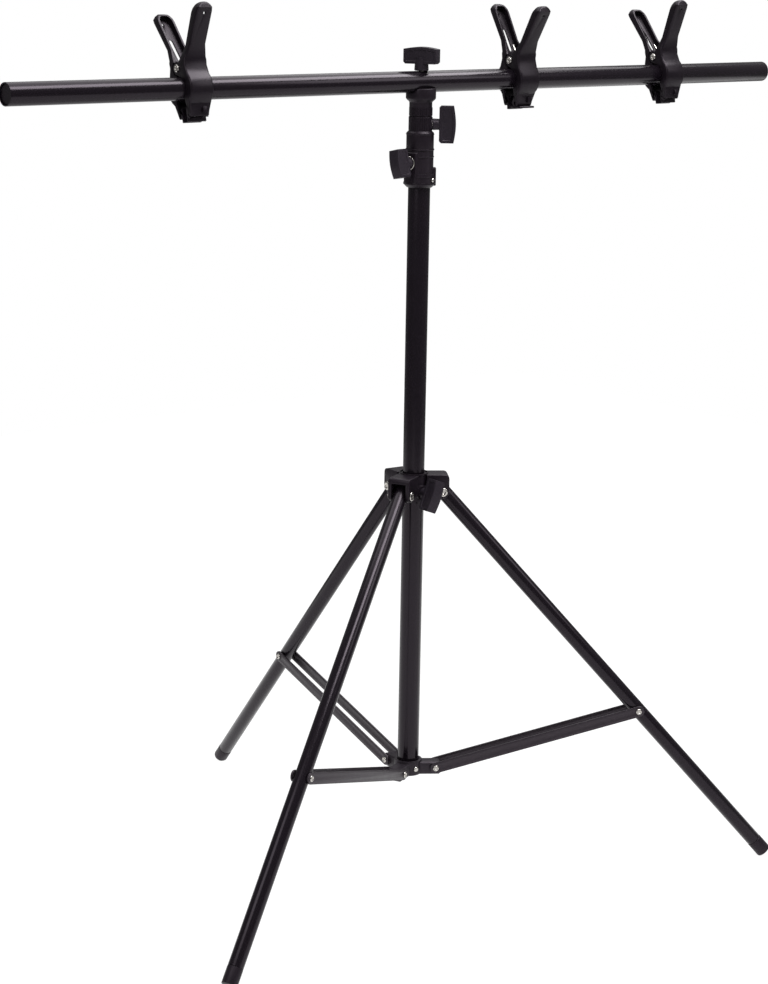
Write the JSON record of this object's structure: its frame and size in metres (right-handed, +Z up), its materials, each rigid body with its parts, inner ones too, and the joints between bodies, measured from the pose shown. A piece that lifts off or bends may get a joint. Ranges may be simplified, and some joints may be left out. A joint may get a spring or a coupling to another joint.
{
  "type": "backdrop stand",
  "caption": "Folding tripod stand with a telescoping mast, a tee head carrying a straight crossbar, and spring clamps that hold a backdrop's edge.",
  "frame": {"origin": "on the floor, in the middle of the stand's outline seen from above", "axes": "+Z up, +X along the crossbar towards its longer side, +Y towards the rear leg"},
  "size_m": [1.0064, 0.639, 0.928],
  "materials": {
    "coated_tube": "gloss black coating",
    "brace_strip": "semi-gloss black coating",
    "cast_hub": "satin black coating",
    "moulded_plastic": "fine moulded texture",
    "clamp_plastic": "satin moulded surface",
    "pad_plastic": "matt moulded surface",
    "rubber_foot": "matt",
    "nickel_steel": "bright nickel plate",
    "spring_steel": "bright drawn wire"
  },
  "bodies": {
    "stand": {"lower_mast": "coated_tube", "brace_hub": "cast_hub", "hub_screw": "nickel_steel", "hub_pin_1": "nickel_steel", "hub_pin_2": "nickel_steel", "hub_pin_3": "nickel_steel", "lower_mast_collar": "moulded_plastic", "collar_screw": "nickel_steel"},
    "leg_collar": {"leg_collar": "moulded_plastic", "leg_pin_1": "nickel_steel", "leg_pin_2": "nickel_steel", "leg_pin_3": "nickel_steel"},
    "leg_collar_knob": {"leg_collar_knob": "moulded_plastic", "leg_collar_knob_screw": "nickel_steel"},
    "leg_1": {"leg_1": "coated_tube", "foot_1": "rubber_foot"},
    "leg_2": {"leg_2": "coated_tube", "foot_2": "rubber_foot"},
    "leg_3": {"leg_3": "coated_tube", "foot_3": "rubber_foot"},
    "brace_1": {"brace_1_left": "brace_strip", "brace_1_right": "brace_strip", "brace_1_rivet": "nickel_steel"},
    "brace_2": {"brace_2_left": "brace_strip", "brace_2_right": "brace_strip", "brace_2_rivet": "nickel_steel"},
    "brace_3": {"brace_3_left": "brace_strip", "brace_3_right": "brace_strip", "brace_3_rivet": "nickel_steel"},
    "lower_knob": {"lower_mast_collar_knob": "moulded_plastic", "lower_mast_collar_knob_screw": "nickel_steel"},
    "middle_section": {"middle_tube": "coated_tube", "upper_mast_collar": "moulded_plastic"},
    "upper_knob": {"upper_mast_collar_knob": "moulded_plastic", "upper_mast_collar_knob_screw": "nickel_steel"},
    "top_section": {"top_tube": "coated_tube"},
    "head": {"tee_saddle": "moulded_plastic", "crossbar": "coated_tube", "bar_plug_left": "moulded_plastic", "bar_plug_right": "moulded_plastic"},
    "top_knob": {"top_knob": "moulded_plastic", "top_bolt": "nickel_steel"},
    "clamp_1": {"clamp_1_pin": "nickel_steel", "clamp_1_spring": "spring_steel"},
    "clamp_1_front": {"clamp_1_front": "clamp_plastic"},
    "clamp_1_front_pad": {"clamp_1_front_pad": "pad_plastic"},
    "clamp_1_rear": {"clamp_1_rear": "clamp_plastic"},
    "clamp_1_rear_pad": {"clamp_1_rear_pad": "pad_plastic"},
    "clamp_2": {"clamp_2_pin": "nickel_steel", "clamp_2_spring": "spring_steel"},
    "clamp_2_front": {"clamp_2_front": "clamp_plastic"},
    "clamp_2_front_pad": {"clamp_2_front_pad": "pad_plastic"},
    "clamp_2_rear": {"clamp_2_rear": "clamp_plastic"},
    "clamp_2_rear_pad": {"clamp_2_rear_pad": "pad_plastic"},
    "clamp_3": {"clamp_3_pin": "nickel_steel", "clamp_3_spring": "spring_steel"},
    "clamp_3_front": {"clamp_3_front": "clamp_plastic"},
    "clamp_3_front_pad": {"clamp_3_front_pad": "pad_plastic"},
    "clamp_3_rear": {"clamp_3_rear": "clamp_plastic"},
    "clamp_3_rear_pad": {"clamp_3_rear_pad": "pad_plastic"}
  },
  "joints": [
    {"name": "leg_collar_slide", "type": "slide", "parent": "stand", "child": "leg_collar", "axis": [0, 0, 1], "range_m": [0, 0.24119]},
    {"name": "leg_collar_knob_turn", "type": "hinge", "parent": "leg_collar", "child": "leg_collar_knob", "pos_m": [-0.01166, -0.10449, 0.41522], "axis": [-0.0872, -0.9962, 0], "range_deg": [0, 450]},
    {"name": "leg_1_fold", "type": "hinge", "parent": "leg_collar", "child": "leg_1", "pos_m": [0.01523, -0.10323, 0.41522], "axis": [0.5736, 0.8192, 0], "range_deg": [-0.01, 41.87]},
    {"name": "leg_2_fold", "type": "hinge", "parent": "leg_collar", "child": "leg_2", "pos_m": [-0.00732, -0.05488, 0.41522], "axis": [-0.9962, 0.0872, 0], "range_deg": [-0.01, 41.87]},
    {"name": "leg_3_fold", "type": "hinge", "parent": "leg_collar", "child": "leg_3", "pos_m": [-0.03791, -0.09858, 0.41522], "axis": [0.4226, -0.9063, 0], "range_deg": [-0.01, 41.87]},
    {"name": "brace_1_fold", "type": "hinge", "parent": "stand", "child": "brace_1", "pos_m": [0.01433, -0.1026, 0.1073], "axis": [-0.5736, -0.8192, 0], "range_deg": [-0.01, 74.21]},
    {"name": "brace_2_fold", "type": "hinge", "parent": "stand", "child": "brace_2", "pos_m": [-0.00741, -0.05598, 0.1073], "axis": [0.9962, -0.0872, 0], "range_deg": [-0.01, 74.21]},
    {"name": "brace_3_fold", "type": "hinge", "parent": "stand", "child": "brace_3", "pos_m": [-0.03692, -0.09812, 0.1073], "axis": [-0.4226, 0.9063, 0], "range_deg": [-0.01, 74.21]},
    {"name": "lower_knob_turn", "type": "hinge", "parent": "stand", "child": "lower_knob", "pos_m": [-0.02585, -0.08836, 0.7623], "axis": [-0.9848, -0.1736, 0], "range_deg": [0, 450]},
    {"name": "middle_slide", "type": "slide", "parent": "stand", "child": "middle_section", "axis": [0, 0, 1], "range_m": [0, 0.48]},
    {"name": "upper_knob_turn", "type": "hinge", "parent": "middle_section", "child": "upper_knob", "pos_m": [-0.00058, -0.09347, 0.80145], "axis": [0.766, -0.6428, 0], "range_deg": [0, 450]},
    {"name": "top_slide", "type": "slide", "parent": "middle_section", "child": "top_section", "axis": [0, 0, 1], "range_m": [0, 0.48]},
    {"name": "head_turn", "type": "hinge", "parent": "top_section", "child": "head", "pos_m": [-0.01, -0.08557, 0.8446], "axis": [0, 0, 1], "continuous": true},
    {"name": "top_knob_turn", "type": "hinge", "parent": "head", "child": "top_knob", "pos_m": [-0.01, -0.08557, 0.8556], "axis": [0, 0, 1], "range_deg": [0, 450]},
    {"name": "clamp_1_slide", "type": "slide", "parent": "head", "child": "clamp_1", "axis": [1, 0, 0], "range_m": [-0.18, 0.22]},
    {"name": "clamp_1_front_squeeze", "type": "hinge", "parent": "clamp_1", "child": "clamp_1_front", "pos_m": [-0.298, -0.08171, 0.86372], "axis": [-1, 0, 0], "range_deg": [0, 22], "stiffness_Nm_per_rad": 0.4, "springref_deg": -45.84, "deforming": ["clamp_1_spring"]},
    {"name": "clamp_1_front_pad_swivel", "type": "hinge", "parent": "clamp_1_front", "child": "clamp_1_front_pad", "pos_m": [-0.298, -0.09835, 0.82167], "axis": [-1, 0, 0], "range_deg": [-12, 90]},
    {"name": "clamp_1_rear_squeeze", "type": "hinge", "parent": "clamp_1", "child": "clamp_1_rear", "pos_m": [-0.298, -0.08171, 0.86372], "axis": [1, 0, 0], "range_deg": [0, 22], "stiffness_Nm_per_rad": 0.4, "springref_deg": -45.84},
    {"name": "clamp_1_rear_pad_swivel", "type": "hinge", "parent": "clamp_1_rear", "child": "clamp_1_rear_pad", "pos_m": [-0.298, -0.08267, 0.81851], "axis": [1, 0, 0], "range_deg": [-12, 90]},
    {"name": "clamp_2_slide", "type": "slide", "parent": "head", "child": "clamp_2", "axis": [1, 0, 0], "range_m": [-0.08, 0.09]},
    {"name": "clamp_2_front_squeeze", "type": "hinge", "parent": "clamp_2", "child": "clamp_2_front", "pos_m": [0.1246, -0.08557, 0.8641], "axis": [-1, 0, 0], "range_deg": [0, 22], "stiffness_Nm_per_rad": 0.4, "springref_deg": -45.84, "deforming": ["clamp_2_spring"]},
    {"name": "clamp_2_front_pad_swivel", "type": "hinge", "parent": "clamp_2_front", "child": "clamp_2_front_pad", "pos_m": [0.1246, -0.09356, 0.8196], "axis": [-1, 0, 0], "range_deg": [-90, 5]},
    {"name": "clamp_2_rear_squeeze", "type": "hinge", "parent": "clamp_2", "child": "clamp_2_rear", "pos_m": [0.1246, -0.08557, 0.8641], "axis": [1, 0, 0], "range_deg": [0, 22], "stiffness_Nm_per_rad": 0.4, "springref_deg": -45.84},
    {"name": "clamp_2_rear_pad_swivel", "type": "hinge", "parent": "clamp_2_rear", "child": "clamp_2_rear_pad", "pos_m": [0.1246, -0.07756, 0.8196], "axis": [1, 0, 0], "range_deg": [-12, 90]},
    {"name": "clamp_3_slide", "type": "slide", "parent": "head", "child": "clamp_3", "axis": [1, 0, 0], "range_m": [-0.09, 0.12]},
    {"name": "clamp_3_front_squeeze", "type": "hinge", "parent": "clamp_3", "child": "clamp_3_front", "pos_m": [0.3425, -0.08218, 0.8638], "axis": [-1, 0, 0], "range_deg": [0, 22], "stiffness_Nm_per_rad": 0.4, "springref_deg": -45.84, "deforming": ["clamp_3_spring"]},
    {"name": "clamp_3_front_pad_swivel", "type": "hinge", "parent": "clamp_3_front", "child": "clamp_3_front_pad", "pos_m": [0.3425, -0.09778, 0.82137], "axis": [-1, 0, 0], "range_deg": [-12, 90]},
    {"name": "clamp_3_rear_squeeze", "type": "hinge", "parent": "clamp_3", "child": "clamp_3_rear", "pos_m": [0.3425, -0.08218, 0.8638], "axis": [1, 0, 0], "range_deg": [0, 22], "stiffness_Nm_per_rad": 0.4, "springref_deg": -45.84},
    {"name": "clamp_3_rear_pad_swivel", "type": "hinge", "parent": "clamp_3_rear", "child": "clamp_3_rear_pad", "pos_m": [0.3425, -0.08203, 0.81859], "axis": [1, 0, 0], "range_deg": [-12, 90]}
  ],
  "couplings": [
    {"joint": "leg_1_fold", "follows": "leg_collar_slide", "rad_per_m": 2.9081},
    {"joint": "leg_2_fold", "follows": "leg_collar_slide", "rad_per_m": 2.9081},
    {"joint": "leg_3_fold", "follows": "leg_collar_slide", "rad_per_m": 2.9081},
    {"joint": "brace_1_fold", "follows": "leg_collar_slide", "rad_per_m": 5.1551},
    {"joint": "brace_2_fold", "follows": "leg_collar_slide", "rad_per_m": 5.1551},
    {"joint": "brace_3_fold", "follows": "leg_collar_slide", "rad_per_m": 5.1551},
    {"joint": "clamp_1_rear_squeeze", "follows": "clamp_1_front_squeeze", "ratio": 1},
    {"joint": "clamp_2_rear_squeeze", "follows": "clamp_2_front_squeeze", "ratio": 1},
    {"joint": "clamp_3_rear_squeeze", "follows": "clamp_3_front_squeeze", "ratio": 1}
  ]
}
